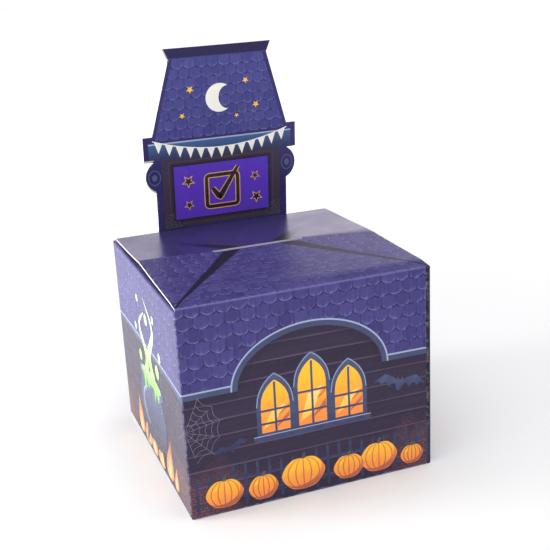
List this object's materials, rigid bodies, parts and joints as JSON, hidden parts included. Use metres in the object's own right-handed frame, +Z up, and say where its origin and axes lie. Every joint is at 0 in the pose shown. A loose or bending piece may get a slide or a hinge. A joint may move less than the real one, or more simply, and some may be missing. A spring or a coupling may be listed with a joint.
{
  "type": "ballot box",
  "caption": "Square folding-board ballot box with creased lids, a posting slot, a tuck-in bottom and a house-shaped header card that folds back.",
  "frame": {"origin": "underside of the bottom panel, at the middle of the box's footprint", "axes": "+Z up, -Y towards the front wall, +X to the right seen from the front"},
  "size_m": [0.203, 0.2047, 0.3268],
  "materials": {
    "wall_print": "gloss laminated print",
    "lid_print": "gloss laminated print",
    "header_print": "gloss laminated print",
    "white_board": "uncoated white liner",
    "tape": "translucent film"
  },
  "bodies": {
    "carton": {"front_wall": "wall_print", "rear_wall": "wall_print", "left_wall": "wall_print", "right_wall": "wall_print", "side_glue_tab": "white_board", "header_tab": "white_board", "header_tape_strips": "tape"},
    "front_lid": {"front_lid": "lid_print"},
    "rear_lid": {"rear_lid": "lid_print"},
    "top_left_flap": {"top_left_dust_flap": "white_board"},
    "top_right_flap": {"top_right_dust_flap": "white_board"},
    "bottom_left_flap": {"bottom_left_dust_flap": "white_board"},
    "bottom_right_flap": {"bottom_right_dust_flap": "white_board"},
    "bottom": {"bottom_panel": "white_board"},
    "tuck": {"bottom_tuck_flap": "white_board"},
    "header": {"header_card": "header_print"}
  },
  "joints": [
    {"name": "front_lid_crease", "type": "hinge", "parent": "carton", "child": "front_lid", "pos_m": [0, -0.10075, 0.16675], "axis": [1, 0, 0], "range_deg": [0, 172]},
    {"name": "rear_lid_crease", "type": "hinge", "parent": "carton", "child": "rear_lid", "pos_m": [0, 0.10075, 0.16675], "axis": [-1, 0, 0], "range_deg": [0, 78]},
    {"name": "top_left_flap_crease", "type": "hinge", "parent": "carton", "child": "top_left_flap", "pos_m": [-0.09985, 0, 0.1642], "axis": [0, 1, 0], "range_deg": [0, 80]},
    {"name": "top_right_flap_crease", "type": "hinge", "parent": "carton", "child": "top_right_flap", "pos_m": [0.09985, 0, 0.1642], "axis": [0, -1, 0], "range_deg": [0, 80]},
    {"name": "bottom_left_flap_crease", "type": "hinge", "parent": "carton", "child": "bottom_left_flap", "pos_m": [-0.09985, 0, 0.0033], "axis": [0, -1, 0], "range_deg": [0, 75]},
    {"name": "bottom_right_flap_crease", "type": "hinge", "parent": "carton", "child": "bottom_right_flap", "pos_m": [0.09985, 0, 0.0033], "axis": [0, 1, 0], "range_deg": [0, 75]},
    {"name": "bottom_crease", "type": "hinge", "parent": "carton", "child": "bottom", "pos_m": [0, 0.10075, 0.00075], "axis": [1, 0, 0], "range_deg": [0, 100]},
    {"name": "tuck_crease", "type": "hinge", "parent": "bottom", "child": "tuck", "pos_m": [0, -0.09691, 0.00165], "axis": [-1, 0, 0], "range_deg": [0, 50]},
    {"name": "header_crease", "type": "hinge", "parent": "carton", "child": "header", "pos_m": [0, 0.1032, 0.1675], "axis": [-1, 0, 0], "range_deg": [0, 100]}
  ]
}
